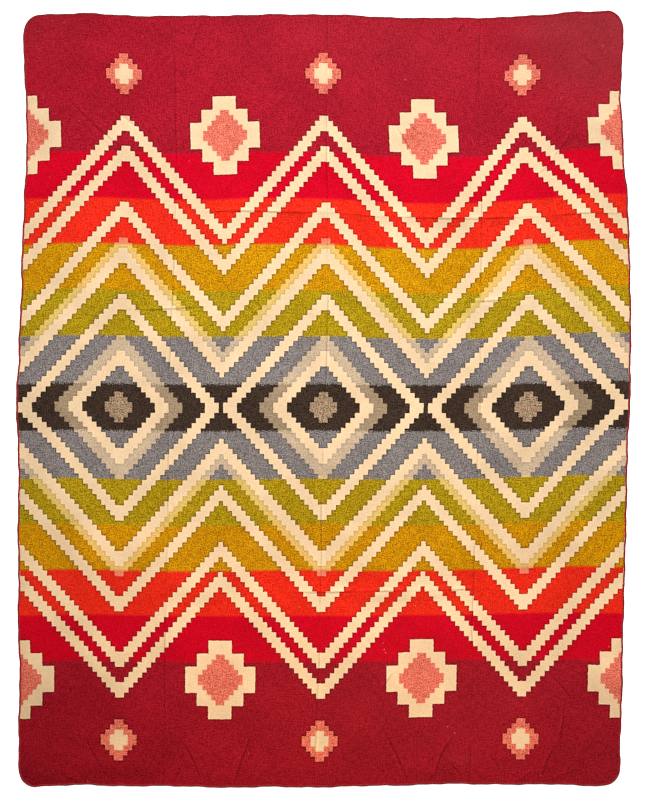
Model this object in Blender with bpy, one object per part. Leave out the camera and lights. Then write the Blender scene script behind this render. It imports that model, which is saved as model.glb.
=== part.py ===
# A large woven blanket with rounded corners, spread flat on a level surface.
# Metres, +Z up. +X runs across the width and +Y along the length.
# The origin is the middle of the blanket's box, at the height of the surface under it.
#
# The blanket is one woven panel and the overlocked edging that is sewn round it.
# Both are drawn first as a straight-sided blanket lying flat, then placed: the outline is bowed
# as the real one lies, and the cloth is lifted along its storage folds and edge ripples.

import math
from collections import namedtuple

import bmesh
import bpy

# Overall size of the straight-sided blanket
WIDTH = 1.890
LENGTH = 2.390
CORNER_RADIUS = 0.055
REACH_X = WIDTH / 2 - CORNER_RADIUS
REACH_Y = LENGTH / 2 - CORNER_RADIUS

# Steps of the grid and of each corner's arc
CELL = 0.062
ARC_STEPS = 4

# Thickness of the cloth, and the heights between which the edging lifts and pinches its border
CLOTH_THICKNESS = 0.0032
PINCHED_LOW = 0.0012
PINCHED_HIGH = 0.0028

# Edging: a casing of thread with a slot that the border of the cloth sits in
EDGING_REACH = 0.006
EDGING_HEIGHT = 0.0040
EDGING_WALL = 0.0012
EDGING_ARM = 0.0009
EDGING_CHAMFER = 0.0010
GAP = 0.0003

# Insets of the cloth's border loops from the blanket's outline
BORDER_EDGE = EDGING_WALL + GAP
BORDER_FREE = EDGING_REACH + 0.001
BORDER_FULL = 0.018

# How far each side of the blanket lies outside its straight line, at places along that side
SideRow = namedtuple("SideRow", "along outward")
LEFT_SIDE = [
    SideRow(-1.20, 0.003),
    SideRow(-1.10, 0.003),
    SideRow(-0.88, 0.000),
    SideRow(-0.60, 0.004),
    SideRow(-0.14, 0.004),
    SideRow(0.01, 0.010),
    SideRow(0.16, 0.001),
    SideRow(0.38, -0.006),
    SideRow(0.61, -0.014),
    SideRow(0.76, -0.023),
    SideRow(1.20, -0.012),
]
RIGHT_SIDE = [
    SideRow(-1.20, -0.028),
    SideRow(-1.10, -0.026),
    SideRow(-0.73, -0.018),
    SideRow(-0.43, -0.009),
    SideRow(-0.13, -0.003),
    SideRow(0.02, 0.006),
    SideRow(0.31, 0.006),
    SideRow(0.61, -0.003),
    SideRow(0.76, -0.018),
    SideRow(0.91, -0.024),
    SideRow(1.20, -0.017),
]
TOP_SIDE = [
    SideRow(-0.95, 0.001),
    SideRow(-0.79, 0.004),
    SideRow(-0.52, -0.003),
    SideRow(-0.23, 0.000),
    SideRow(0.00, 0.003),
    SideRow(0.23, -0.008),
    SideRow(0.46, -0.009),
    SideRow(0.66, -0.003),
    SideRow(0.82, 0.011),
    SideRow(0.95, 0.014),
]
BOTTOM_SIDE = [
    SideRow(-0.95, 0.002),
    SideRow(-0.72, -0.003),
    SideRow(-0.30, 0.003),
    SideRow(0.02, 0.003),
    SideRow(0.38, -0.006),
    SideRow(0.66, -0.006),
    SideRow(0.95, -0.001),
]

# Lifted folds. Each is a soft ridge whose middle is at (x, y) and which runs along heading,
# in degrees from +X. half_width is from its crest to where the cloth lies flat again, and
# bow moves its middle sideways.
FoldRow = namedtuple("FoldRow", "x y heading length half_width height bow")
LENGTHWISE_FOLDS = [
    FoldRow(-0.478, 0.00, 90.6, 2.70, 0.030, 0.0042, 0.006),
    FoldRow(-0.028, 0.00, 90.4, 2.70, 0.028, 0.0026, -0.004),
    FoldRow(0.028, 0.00, 90.4, 2.70, 0.028, 0.0024, -0.004),
    FoldRow(0.480, 0.00, 90.5, 2.70, 0.030, 0.0036, 0.005),
]
CROSSWISE_FOLDS = [
    FoldRow(0.27, 0.575, -1.0, 1.36, 0.034, 0.0040, 0.006),
    FoldRow(-0.48, 0.304, 8.0, 0.34, 0.032, 0.0034, 0.000),
    FoldRow(0.50, 0.304, 2.0, 0.42, 0.032, 0.0034, 0.000),
    FoldRow(0.21, -0.590, 1.0, 0.72, 0.034, 0.0036, -0.005),
]
EDGE_RIPPLES = [
    FoldRow(-0.73, 1.20, 84.0, 0.44, 0.090, 0.0070, 0.0),
    FoldRow(-0.16, 1.20, 72.0, 0.40, 0.085, 0.0045, 0.0),
    FoldRow(0.24, 1.20, 98.0, 0.42, 0.080, 0.0060, 0.0),
    FoldRow(0.62, 1.20, 90.0, 0.38, 0.095, 0.0080, 0.0),
    FoldRow(0.95, 0.83, 12.0, 0.36, 0.090, 0.0065, 0.0),
    FoldRow(0.95, -0.25, -8.0, 0.36, 0.100, 0.0060, 0.0),
    FoldRow(0.93, -0.86, 6.0, 0.40, 0.090, 0.0075, 0.0),
    FoldRow(0.66, -1.20, 74.0, 0.42, 0.085, 0.0080, 0.0),
    FoldRow(0.30, -1.20, 108.0, 0.40, 0.080, 0.0055, 0.0),
    FoldRow(-0.24, -1.20, 70.0, 0.46, 0.085, 0.0070, 0.0),
    FoldRow(-0.62, -1.20, 104.0, 0.38, 0.090, 0.0050, 0.0),
    FoldRow(-0.95, -0.72, -6.0, 0.34, 0.095, 0.0055, 0.0),
    FoldRow(-0.95, 0.02, 4.0, 0.40, 0.110, 0.0075, 0.0),
    FoldRow(-0.94, 0.66, 10.0, 0.36, 0.090, 0.0060, 0.0),
]


def eased(share):
    """0 to 1 with a level start and end."""
    return share * share * (3 - 2 * share)


def outward_at(rows, along):
    """How far out a side lies at a place along it, eased from row to row."""
    if along <= rows[0].along:
        return rows[0].outward
    for before, after in zip(rows, rows[1:]):
        if along <= after.along:
            share = (along - before.along) / (after.along - before.along)
            return before.outward + (after.outward - before.outward) * eased(share)
    return rows[-1].outward


def bowed(x, y):
    """A point of the straight-sided blanket, moved as its bowed sides take it."""
    right_share = x / WIDTH + 0.5
    top_share = y / LENGTH + 0.5
    shift_x = outward_at(RIGHT_SIDE, y) * right_share - outward_at(LEFT_SIDE, y) * (1 - right_share)
    shift_y = outward_at(TOP_SIDE, x) * top_share - outward_at(BOTTOM_SIDE, x) * (1 - top_share)
    return x + shift_x, y + shift_y


def fold_lift(fold, x, y):
    """Height of one soft ridge over the point (x, y)."""
    heading = math.radians(fold.heading)
    along = (x - fold.x) * math.cos(heading) + (y - fold.y) * math.sin(heading)
    across = (y - fold.y) * math.cos(heading) - (x - fold.x) * math.sin(heading)
    end_share = abs(along) / (fold.length / 2)
    if end_share >= 1:
        return 0.0
    across -= fold.bow * math.cos(math.pi / 2 * end_share)
    side_share = abs(across) / fold.half_width
    if side_share >= 1:
        return 0.0
    return fold.height * (1 - eased(side_share)) * (1 - eased(end_share) ** 2)


def lift(x, y):
    """Height of the cloth's underside over the surface at (x, y) of the straight-sided blanket."""
    return max(fold_lift(fold, x, y) for fold in LENGTHWISE_FOLDS + CROSSWISE_FOLDS + EDGE_RIPPLES)


def grid_lines(reach, folds, axis):
    """Places of the grid's lines from -reach to reach along an axis, "x" or "y", with one on the
    crest of each fold and one at each of its feet."""
    fixed = {-reach, reach}
    for fold in folds:
        crest = getattr(fold, axis)
        fixed.update((crest - fold.half_width, crest, crest + fold.half_width))
    fixed = sorted(fixed)
    lines = fixed[:1]
    for start, end in zip(fixed, fixed[1:]):
        count = max(1, round((end - start) / CELL))
        lines += [start + (end - start) * step / count for step in range(1, count + 1)]
    return lines


def outline(inset, columns, rows):
    """The loop that lies inset from the straight-sided blanket's outline, anticlockwise from the
    bottom left corner, with a round arc at each corner and a point on each grid line."""
    radius = CORNER_RADIUS - inset
    sides = [
        [(x, -REACH_Y - radius) for x in columns[1:-1]],
        [(REACH_X + radius, y) for y in rows[1:-1]],
        [(x, REACH_Y + radius) for x in columns[-2:0:-1]],
        [(-REACH_X - radius, y) for y in rows[-2:0:-1]],
    ]
    corners = [(-REACH_X, -REACH_Y), (REACH_X, -REACH_Y), (REACH_X, REACH_Y), (-REACH_X, REACH_Y)]
    points = []
    for quarter, (middle_x, middle_y) in enumerate(corners):
        for step in range(ARC_STEPS + 1):
            angle = math.pi + math.pi / 2 * (quarter + step / ARC_STEPS)
            points.append((middle_x + radius * math.cos(angle), middle_y + radius * math.sin(angle)))
        points += sides[quarter]
    return points


def add_border_loop(mesh, inset, height, columns, rows):
    """One loop of the border at a height in the flat blanket. Every loop takes its lift from the
    outline, so the cloth and its casing rise together and keep their gap."""
    loop = []
    for (x, y), (rim_x, rim_y) in zip(outline(inset, columns, rows), outline(0.0, columns, rows)):
        loop.append(mesh.verts.new((*bowed(x, y), height + lift(rim_x, rim_y))))
    return loop


def join_loops(mesh, outer, inner):
    """Faces between two closed loops. Where the inner loop stands still, they are triangles."""
    for k in range(len(outer)):
        following = (k + 1) % len(outer)
        corners = [outer[k], outer[following], inner[following], inner[k]]
        mesh.faces.new(list(dict.fromkeys(corners)))


def add_side(mesh, heights, columns, rows):
    """One face of the cloth: its border loops and the grid inside them. heights holds the height
    of each border loop. Returns the outermost loop."""
    insets = [BORDER_EDGE, BORDER_FREE, BORDER_FULL]
    loops = [add_border_loop(mesh, inset, height, columns, rows)
             for inset, height in zip(insets, heights)]
    grid = [[mesh.verts.new((*bowed(x, y), heights[-1] + lift(x, y))) for x in columns] for y in rows]
    for lower, upper in zip(grid, grid[1:]):
        for k in range(len(columns) - 1):
            mesh.faces.new((lower[k], lower[k + 1], upper[k + 1], upper[k]))
    sides = [grid[0], [row[-1] for row in grid], grid[-1][::-1], [row[0] for row in reversed(grid)]]
    rim = []
    for side in sides:
        rim += side[:1] * (ARC_STEPS + 1) + side[1:-1]
    for outer, inner in zip(loops, loops[1:] + [rim]):
        join_loops(mesh, outer, inner)
    return loops[0]


def finished_object(name, mesh, colour, roughness):
    """A named object of a closed mesh, with its own plain material."""
    bmesh.ops.recalc_face_normals(mesh, faces=mesh.faces)
    data = bpy.data.meshes.new(name)
    mesh.to_mesh(data)
    mesh.free()
    material = bpy.data.materials.new(name)
    material.use_nodes = True
    shader = material.node_tree.nodes["Principled BSDF"]
    shader.inputs["Base Color"].default_value = (*colour, 1.0)
    shader.inputs["Roughness"].default_value = roughness
    shader.inputs["Metallic"].default_value = 0.0
    data.materials.append(material)
    made = bpy.data.objects.new(name, data)
    bpy.context.scene.collection.objects.link(made)
    return made


def build_panel(columns, rows):
    """The woven cloth: one closed sheet whose pinched border sits in the edging."""
    mesh = bmesh.new()
    top = add_side(mesh, [PINCHED_HIGH, PINCHED_HIGH, CLOTH_THICKNESS], columns, rows)
    bottom = add_side(mesh, [PINCHED_LOW, PINCHED_LOW, 0.0], columns, rows)
    join_loops(mesh, bottom, top)
    return finished_object("woven_panel", mesh, colour=(0.42, 0.02, 0.03), roughness=0.95)


def build_edging(columns, rows):
    """The overlocked edging: one slotted section carried round the outline."""
    slot_top = EDGING_HEIGHT - EDGING_ARM
    section = [
        (0.0, EDGING_CHAMFER),
        (EDGING_CHAMFER, 0.0),
        (EDGING_REACH, 0.0),
        (EDGING_REACH, EDGING_ARM),
        (EDGING_WALL, EDGING_ARM),
        (EDGING_WALL, slot_top),
        (EDGING_REACH, slot_top),
        (EDGING_REACH, EDGING_HEIGHT),
        (EDGING_CHAMFER, EDGING_HEIGHT),
        (0.0, EDGING_HEIGHT - EDGING_CHAMFER),
    ]
    mesh = bmesh.new()
    loops = [add_border_loop(mesh, inset, height, columns, rows) for inset, height in section]
    for loop, following in zip(loops, loops[1:] + loops[:1]):
        join_loops(mesh, loop, following)
    return finished_object("overlock_edging", mesh, colour=(0.36, 0.008, 0.02), roughness=0.8)


def main():
    """Builds both pieces on the same grid and centres them over the origin."""
    for old in list(bpy.data.objects):
        bpy.data.objects.remove(old)
    columns = grid_lines(REACH_X, LENGTHWISE_FOLDS, "x")
    rows = grid_lines(REACH_Y, CROSSWISE_FOLDS, "y")
    pieces = [build_panel(columns, rows), build_edging(columns, rows)]
    across, along = zip(*[bowed(x, y) for x, y in outline(0.0, columns, rows)])
    middle = ((min(across) + max(across)) / 2, (min(along) + max(along)) / 2)
    for piece in pieces:
        piece.location = (-middle[0], -middle[1], 0)


main()
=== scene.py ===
# The looks of a large woven blanket with an overlocked edge, spread flat and seen from above.
# Metres, +Z up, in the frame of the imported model: +X across the width, +Y along the length.
#
# Places on the cloth are given on the straight-sided blanket, before its sides bow. Its solids are
# drawn from the same sizes and tables, and scene.py adds the finer shape, thread and colour.

import math
from collections import namedtuple
from functools import partialmethod, reduce

import bpy
import numpy as np
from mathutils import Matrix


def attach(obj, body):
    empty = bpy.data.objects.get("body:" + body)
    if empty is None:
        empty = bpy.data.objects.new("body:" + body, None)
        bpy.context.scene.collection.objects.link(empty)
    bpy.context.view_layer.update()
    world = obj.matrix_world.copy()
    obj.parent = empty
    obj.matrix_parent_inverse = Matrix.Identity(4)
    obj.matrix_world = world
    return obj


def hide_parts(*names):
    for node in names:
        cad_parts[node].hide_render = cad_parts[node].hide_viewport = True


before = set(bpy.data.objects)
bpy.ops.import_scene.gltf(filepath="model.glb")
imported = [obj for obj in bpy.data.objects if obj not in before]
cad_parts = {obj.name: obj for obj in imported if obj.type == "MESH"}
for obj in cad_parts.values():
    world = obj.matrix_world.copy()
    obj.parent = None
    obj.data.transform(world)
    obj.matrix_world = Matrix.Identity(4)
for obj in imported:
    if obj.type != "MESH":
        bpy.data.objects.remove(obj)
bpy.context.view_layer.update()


def table(kind, rows):
    """The rows of a table, as records with named columns."""
    return [kind(*row) for row in rows]


# Overall size of the straight-sided blanket
WIDTH = 1.890
LENGTH = 2.390
CORNER_RADIUS = 0.055
REACH_X = WIDTH / 2 - CORNER_RADIUS
REACH_Y = LENGTH / 2 - CORNER_RADIUS

# Thickness of the cloth, and the heights between which the edging pinches its border
CLOTH_THICKNESS = 0.0032
PINCHED_LOW = 0.0012
PINCHED_HIGH = 0.0028
BORDER_EDGE = 0.0015
BORDER_FREE = 0.0070
BORDER_FULL = 0.0180

# Grid of the cloth: its widest cell, its cell beside a storage fold, and its border loops
CELL = 0.0108
FOLD_CELL = 0.0070
ARC_STEPS = 9
BORDER_INSETS = [BORDER_EDGE, 0.0042, BORDER_FREE, 0.0110, BORDER_FULL, 0.0260, 0.0350, 0.0450]

# How far each side of the blanket lies outside its straight line, at places along that side
SideRow = namedtuple("SideRow", "along outward")
LEFT_SIDE = table(SideRow, [
    (-1.20, 0.003), (-1.10, 0.003), (-0.88, 0.000), (-0.60, 0.004), (-0.14, 0.004), (0.01, 0.010),
    (0.16, 0.001), (0.38, -0.006), (0.61, -0.014), (0.76, -0.023), (1.20, -0.012),
])
RIGHT_SIDE = table(SideRow, [
    (-1.20, -0.028), (-1.10, -0.026), (-0.73, -0.018), (-0.43, -0.009), (-0.13, -0.003),
    (0.02, 0.006), (0.31, 0.006), (0.61, -0.003), (0.76, -0.018), (0.91, -0.024), (1.20, -0.017),
])
TOP_SIDE = table(SideRow, [
    (-0.95, 0.001), (-0.79, 0.004), (-0.52, -0.003), (-0.23, 0.000), (0.00, 0.003), (0.23, -0.008),
    (0.46, -0.009), (0.66, -0.003), (0.82, 0.011), (0.95, 0.014),
])
BOTTOM_SIDE = table(SideRow, [
    (-0.95, 0.002), (-0.72, -0.003), (-0.30, 0.003), (0.02, 0.003), (0.38, -0.006), (0.66, -0.006),
    (0.95, -0.001),
])

# Fine unevenness of the outline, as waves
WaveRow = namedtuple("WaveRow", "wavelength height phase")
OUTLINE_WAVES = table(WaveRow, [
    (0.290, 0.0011, 0.4),
    (0.117, 0.0009, 1.9),
    (0.049, 0.0005, 4.1),
])
OUTLINE_WAVE_DEPTH = 0.060

# The slow unevenness of a cloth that has been folded and spread: waves that cross it at a heading
SwellRow = namedtuple("SwellRow", "wavelength heading height phase")
SWELLS = table(SwellRow, [
    (0.470, 12.0, 0.0012, 0.3),
    (0.330, 78.0, 0.0012, 1.1),
    (0.245, 140.0, 0.0010, 2.2),
    (0.190, 33.0, 0.0008, 5.0),
    (0.152, 104.0, 0.0007, 0.9),
    (0.121, 165.0, 0.0006, 3.7),
    (0.094, 58.0, 0.0005, 4.4),
])
SWELL_SOFTNESS = 0.0005

# Where the cloth's crosswise grain runs off its straight line, fading out at reach
SwayRow = namedtuple("SwayRow", "x y reach_x reach_y shift")
SWAYS = table(SwayRow, [
    (-0.70, 0.60, 0.34, 0.70, 0.0050),
    (-0.19, 0.62, 0.24, 0.60, 0.0050),
    (0.36, 0.52, 0.38, 0.72, -0.0075),
    (0.86, 0.55, 0.34, 0.80, 0.0080),
    (-0.50, -0.40, 0.50, 0.36, -0.0060),
    (0.30, -0.42, 0.34, 0.40, -0.0050),
    (0.78, -0.44, 0.36, 0.50, 0.0055),
])

# Lifted folds. Each is a soft ridge whose middle is at (x, y) and which runs along heading,
# in degrees from +X. half_width is from its crest to where the cloth lies flat again, and
# bow moves its middle sideways. A last number left off a row of any table is nought.
FoldRow = namedtuple("FoldRow", "x y heading length half_width height bow", defaults=[0.0])
LENGTHWISE_FOLDS = table(FoldRow, [
    (-0.478, 0.00, 90.6, 2.70, 0.030, 0.0042, 0.006),
    (-0.028, 0.00, 90.4, 2.70, 0.028, 0.0026, -0.004),
    (0.028, 0.00, 90.4, 2.70, 0.028, 0.0024, -0.004),
    (0.480, 0.00, 90.5, 2.70, 0.030, 0.0036, 0.005),
])
CROSSWISE_FOLDS = table(FoldRow, [
    (0.27, 0.575, -1.0, 1.36, 0.034, 0.0040, 0.006),
    (-0.48, 0.304, 8.0, 0.34, 0.032, 0.0034, 0.000),
    (0.50, 0.304, 2.0, 0.42, 0.032, 0.0034, 0.000),
    (0.21, -0.590, 1.0, 0.72, 0.034, 0.0036, -0.005),
])
EDGE_RIPPLES = table(FoldRow, [
    (-0.73, 1.20, 84.0, 0.44, 0.090, 0.0070),
    (-0.16, 1.20, 72.0, 0.40, 0.085, 0.0045),
    (0.24, 1.20, 98.0, 0.42, 0.080, 0.0060),
    (0.62, 1.20, 90.0, 0.38, 0.095, 0.0080),
    (0.95, 0.83, 12.0, 0.36, 0.090, 0.0065),
    (0.95, -0.25, -8.0, 0.36, 0.100, 0.0060),
    (0.93, -0.86, 6.0, 0.40, 0.090, 0.0075),
    (0.66, -1.20, 74.0, 0.42, 0.085, 0.0080),
    (0.30, -1.20, 108.0, 0.40, 0.080, 0.0055),
    (-0.24, -1.20, 70.0, 0.46, 0.085, 0.0070),
    (-0.62, -1.20, 104.0, 0.38, 0.090, 0.0050),
    (-0.95, -0.72, -6.0, 0.34, 0.095, 0.0055),
    (-0.95, 0.02, 4.0, 0.40, 0.110, 0.0075),
    (-0.94, 0.66, 10.0, 0.36, 0.090, 0.0060),
])

# Thin creases pressed along the storage folds: place is where a crease crosses the middle line,
# lean how far it moves sideways in each metre, and start and end its reach along itself
CreaseRow = namedtuple("CreaseRow", "place lean bow start end")
CREASE_FADE = 0.12
CREASE_SLOW_WANDER = 0.0022
CREASE_QUICK_WANDER = 0.0009
LENGTHWISE_CREASES = table(CreaseRow, [
    (-0.478, 0.0105, 0.000, -1.30, 1.30),
    (-0.002, 0.0090, 0.004, -1.30, 1.30),
    (0.482, 0.0100, -0.003, -1.30, 1.30),
])
CROSSWISE_CREASES = table(CreaseRow, [
    (0.575, -0.0150, 0.004, -0.42, 0.96),
    (0.304, 0.0400, 0.000, -0.62, -0.34),
    (0.304, 0.0200, 0.000, 0.30, 0.70),
    (-0.590, 0.0150, -0.004, -0.12, 0.52),
])

# Short wrinkles that only the looks have. line is how clearly a thin crease, with its groove and its
# painted shade, shows along one.
WrinkleRow = namedtuple("WrinkleRow", "x y heading length half_width height bow line")
WRINKLES = table(WrinkleRow, [
    (-0.409, 1.128, 64.0, 0.17, 0.020, 0.0022, -0.006, 0.6),
    (-0.256, 1.140, 116.0, 0.13, 0.016, 0.0016, -0.004, 0.5),
    (-0.524, 1.153, 127.0, 0.07, 0.018, 0.0016, 0.002, 0.3),
    (-0.463, 1.042, 157.0, 0.16, 0.034, 0.0030, 0.004, 0.0),
    (-0.231, 0.990, 143.0, 0.07, 0.016, 0.0014, 0.001, 0.5),
    (-0.732, 0.870, 136.0, 0.32, 0.022, 0.0026, 0.014, 0.6),
    (-0.625, 0.880, 142.0, 0.20, 0.016, 0.0016, 0.008, 0.5),
    (-0.141, 0.918, 41.0, 0.09, 0.020, 0.0024, 0.002, 0.4),
    (0.152, 0.905, 127.0, 0.08, 0.022, 0.0024, 0.002, 0.3),
    (0.432, 1.161, 49.0, 0.05, 0.014, 0.0018, 0.000, 1.0),
    (0.832, 1.048, 139.0, 0.09, 0.020, 0.0022, 0.003, 0.6),
    (0.290, 0.851, 141.0, 0.09, 0.016, 0.0014, 0.002, 0.5),
    (0.254, 0.818, 119.0, 0.10, 0.016, 0.0014, 0.001, 0.6),
    (0.501, 0.800, 27.0, 0.08, 0.018, 0.0020, 0.002, 0.5),
    (0.761, 0.797, 50.0, 0.18, 0.018, 0.0022, -0.006, 0.6),
    (0.693, 0.719, 37.0, 0.17, 0.018, 0.0020, -0.003, 0.4),
    (-0.291, 0.675, 45.0, 0.14, 0.018, 0.0018, 0.002, 0.3),
    (-0.701, -1.100, 119.0, 0.17, 0.017, 0.0018, 0.005, 0.7),
    (-0.408, -1.106, 118.0, 0.17, 0.017, 0.0022, -0.008, 0.9),
    (-0.442, -1.150, 67.0, 0.07, 0.016, 0.0018, 0.001, 0.7),
    (-0.237, -1.104, 71.0, 0.22, 0.017, 0.0020, 0.004, 0.8),
    (-0.587, -1.153, 0.0, 0.24, 0.024, 0.0028, 0.002, 0.0),
    (-0.789, -1.166, 150.0, 0.12, 0.018, 0.0022, 0.002, 0.6),
    (0.234, -1.098, 116.0, 0.22, 0.017, 0.0020, -0.006, 0.9),
    (0.396, -1.104, 64.0, 0.16, 0.017, 0.0022, 0.013, 1.0),
    (0.425, -1.142, 132.0, 0.09, 0.015, 0.0016, 0.001, 0.6),
    (0.550, -1.122, 124.0, 0.06, 0.015, 0.0014, 0.001, 0.6),
    (0.752, -1.020, 82.0, 0.18, 0.017, 0.0020, -0.008, 0.8),
    (0.721, -1.120, 66.0, 0.13, 0.017, 0.0020, 0.006, 0.8),
    (0.753, -0.893, 134.0, 0.12, 0.017, 0.0018, -0.004, 0.8),
    (0.209, -0.870, 56.0, 0.08, 0.016, 0.0016, 0.001, 0.6),
    (0.646, -1.170, 33.0, 0.08, 0.016, 0.0020, 0.001, 0.7),
    (0.764, -1.166, 25.0, 0.11, 0.016, 0.0022, 0.002, 0.6),
    (0.321, -1.156, 178.0, 0.18, 0.022, 0.0026, 0.002, 0.0),
])

# Soft patches of painted light and shade, standing for the studio's uneven light: how much lighter
# or darker each makes the cloth, how much greyer under a painted veil of light and how much warmer
# under painted warm light
PaintedLightRow = namedtuple("PaintedLightRow", "x y reach_x reach_y tone grey warm", defaults=[0.0, 0.0])
PAINTED_LIGHT_PATCHES = table(PaintedLightRow, [
    (0.00, -1.35, 2.40, 1.45, 0.00, 0.00, 0.90),
    (-0.98, -1.24, 0.76, 0.66, -0.29),
    (-0.98, -0.55, 0.34, 0.60, -0.07),
    (0.98, 1.24, 0.52, 0.52, -0.17, 0.13),
    (0.30, 1.16, 1.05, 0.42, 0.02, 0.03),
    (-0.98, 1.24, 0.36, 0.26, -0.10, 0.04),
    (-0.42, 0.94, 0.50, 0.34, 0.06),
    (0.98, -1.24, 0.34, 0.40, -0.14, 0.02),
    (0.30, -0.98, 0.90, 0.46, 0.03, 0.02),
    (0.20, -0.66, 1.20, 0.24, 0.10),
    (-0.60, -1.152, 0.20, 0.026, -0.12),
    (-0.66, -1.110, 0.16, 0.024, 0.06, 0.01),
    (0.33, -1.156, 0.15, 0.022, -0.09),
    (0.44, -1.118, 0.11, 0.024, 0.06, 0.02),
    (-0.14, -1.120, 0.09, 0.040, 0.05),
    (-0.47, 1.040, 0.12, 0.040, -0.07),
    (-0.66, 1.090, 0.20, 0.060, 0.05, 0.01),
    (-0.62, 1.160, 0.24, 0.030, -0.04),
    (-0.12, 0.965, 0.06, 0.060, -0.08),
    (0.15, 0.940, 0.07, 0.060, -0.08),
    (0.80, 1.010, 0.10, 0.050, -0.08, 0.02),
    (0.70, 1.140, 0.16, 0.050, 0.04, 0.03),
    (-0.03, 1.130, 0.10, 0.070, 0.04, 0.01),
    (0.55, 0.840, 0.12, 0.060, -0.06),
    (-0.76, -0.98, 0.12, 0.070, 0.05),
    (0.60, -0.94, 0.16, 0.070, 0.05, 0.01),
    (-0.30, -0.92, 0.16, 0.080, 0.05),
])

# A crease's mark is at full strength this near to its line, and has faded at twice this. The
# widths and strengths are those of the lengthwise creases, crosswise creases and wrinkles.
MARK_REACH = 0.016
CREASE_WIDTHS = (0.9, 1.25, 1.15)
CREASE_STRENGTHS = (0.70, 1.0, 1.15)

# Overlocked edging: the core that the thread wraps, as (inset, height), and its stitches
CORE_SECTION = [
    (0.0004, 0.0014), (0.0010, 0.0006), (0.0020, 0.0004), (0.0050, 0.0004), (0.0054, 0.0010),
    (0.0013, 0.0010), (0.0013, 0.0030), (0.0054, 0.0030), (0.0050, 0.0036), (0.0020, 0.0037),
    (0.0010, 0.0034), (0.0004, 0.0026),
]
STITCH_PITCH = 0.0032
STITCH_SLANT = 0.0015
STITCH_HALF_WIDTH = 0.00135
STITCH_HALF_DEPTH = 0.00042
STITCH_SIDES = 5
STITCH_PATH = [
    (0.0058, 0.0031), (0.0048, 0.0039), (0.0026, 0.0041), (0.0006, 0.0036), (-0.0002, 0.0021),
    (0.0005, 0.0009), (0.0024, 0.0005),
]
NEEDLE_INSET = 0.0057
NEEDLE_HEIGHT = 0.0037
NEEDLE_DIP = 0.0006
NEEDLE_HALF_WIDTH = 0.00055
THREAD_END_SHARE = 0.55
STITCH_SEED = 11

# The stepped design: where its middle lies lengthwise, the width of one repeat, the steps of its
# lozenges and zigzags, and the places of the crosses and seeds lengthwise from the middle. A cross
# has steps of its own.
DESIGN_MIDDLE = -0.021
REPEAT = 0.630
STEP_ACROSS = 0.0140
STEP_ALONG = 0.0158
CROSS_PLACE = 0.842
CROSS_STEP_ACROSS = 0.0365
CROSS_STEP_ALONG = 0.0405
SEED_PLACE = 1.032
RAMP_STEPS = 96

# Half-tones: the share of cream in them, which is thinner over the black and red bands and
# yellower over the olive and mustard ones, and how softly they change from band to band
HALF_TONE = 0.56
HALF_TONE_OVER_BLACK = 0.68
HALF_TONE_OVER_RED = 0.56
BLACK_REACH = 0.0725
SLATE_REACH = 0.2150
MUSTARD_REACH = 0.5000
BAND_SOFTNESS = 0.0004

# Reach of the painted shade round each figure where the two layers of the cloth change places, and
# of the painted highlight on its lip, how far the drawn edges wander, and the width of a woven
# thread
GROOVE_REACH = 0.0043
WANDER = 0.0030
THREAD_WIDTH = 0.0021

# Camera, floor and light
PHOTO_HEIGHT_PIXELS = 800
METRES_A_PIXEL = 0.0031
LENS_MM = 85.0
SENSOR_MM = 36.0
FRAME_SHIFT = (-0.0031, -0.0031)
FLOOR_SIDE = 60.0
FLOOR_DROP = 0.0003
CAMERA_REACH = 100.0
SOFTBOX_PLACE = (0.57, 3.50, 5.50)
SOFTBOX_AIM = (0.01, 0.14, 0.0)
SOFTBOX_SIDE = 2.4
SOFTBOX_POWER = 74.0
SOFTBOX_SPREAD = 53.0
ROOM_LIGHT = 0.25


def linear(red, green, blue):
    """A colour given as 0 to 255, as the numbers that a shader takes."""
    shares = [value / 255 for value in (red, green, blue)]
    return tuple(s / 12.92 if s <= 0.04045 else ((s + 0.055) / 1.055) ** 2.4 for s in shares)


# Yarns: the colour of each and of the darker flecks in it, as they look under a light of the
# studio's level
LIGHT_LEVEL = 1.33
Yarn = namedtuple("Yarn", "colour fleck")


def dyed(red, green, blue):
    """A colour given as the 0 to 255 numbers that it shows in the studio's light."""
    return tuple(part / LIGHT_LEVEL for part in linear(red, green, blue))


def yarn(colour, fleck):
    """A yarn given by its own colour and its flecks' colour in the studio's light."""
    return Yarn(dyed(*colour), dyed(*fleck))


CREAM = yarn((239, 208, 167), (228, 193, 151))
PALE_YELLOW = dyed(250, 213, 132)
CORAL = yarn((252, 146, 120), (172, 44, 34))
TAUPE = yarn((206, 172, 136), (48, 31, 25))
# A greyish veil and a warm tint of painted light, laid over the cloth in the patches of painted
# light
PAINTED_VEIL_GREY = linear(160, 96, 96)
PAINTED_LIGHT_WARMTH = (1.0, 0.80, 0.58)
THREAD_RED = yarn((202, 32, 34), (162, 16, 20))
# The thread's painted shade, where it turns down over the edge
THREAD_PAINTED_SHADE = yarn((154, 22, 16), (118, 12, 8))
NEEDLE_RED = yarn((222, 76, 82), (190, 44, 56))
CORE_RED = yarn((120, 10, 26), (80, 6, 16))
# Distances along a stitch over which the thread's painted shade comes in
OVERLOCK_PAINTED_SHADE_RUN = (0.0018, 0.0036)
NEEDLE_PAINTED_SHADE_RUN = (1.0, 2.0)
FLOOR_WHITE = linear(244, 244, 243)
FLOOR_GLOW = 0.90

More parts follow.
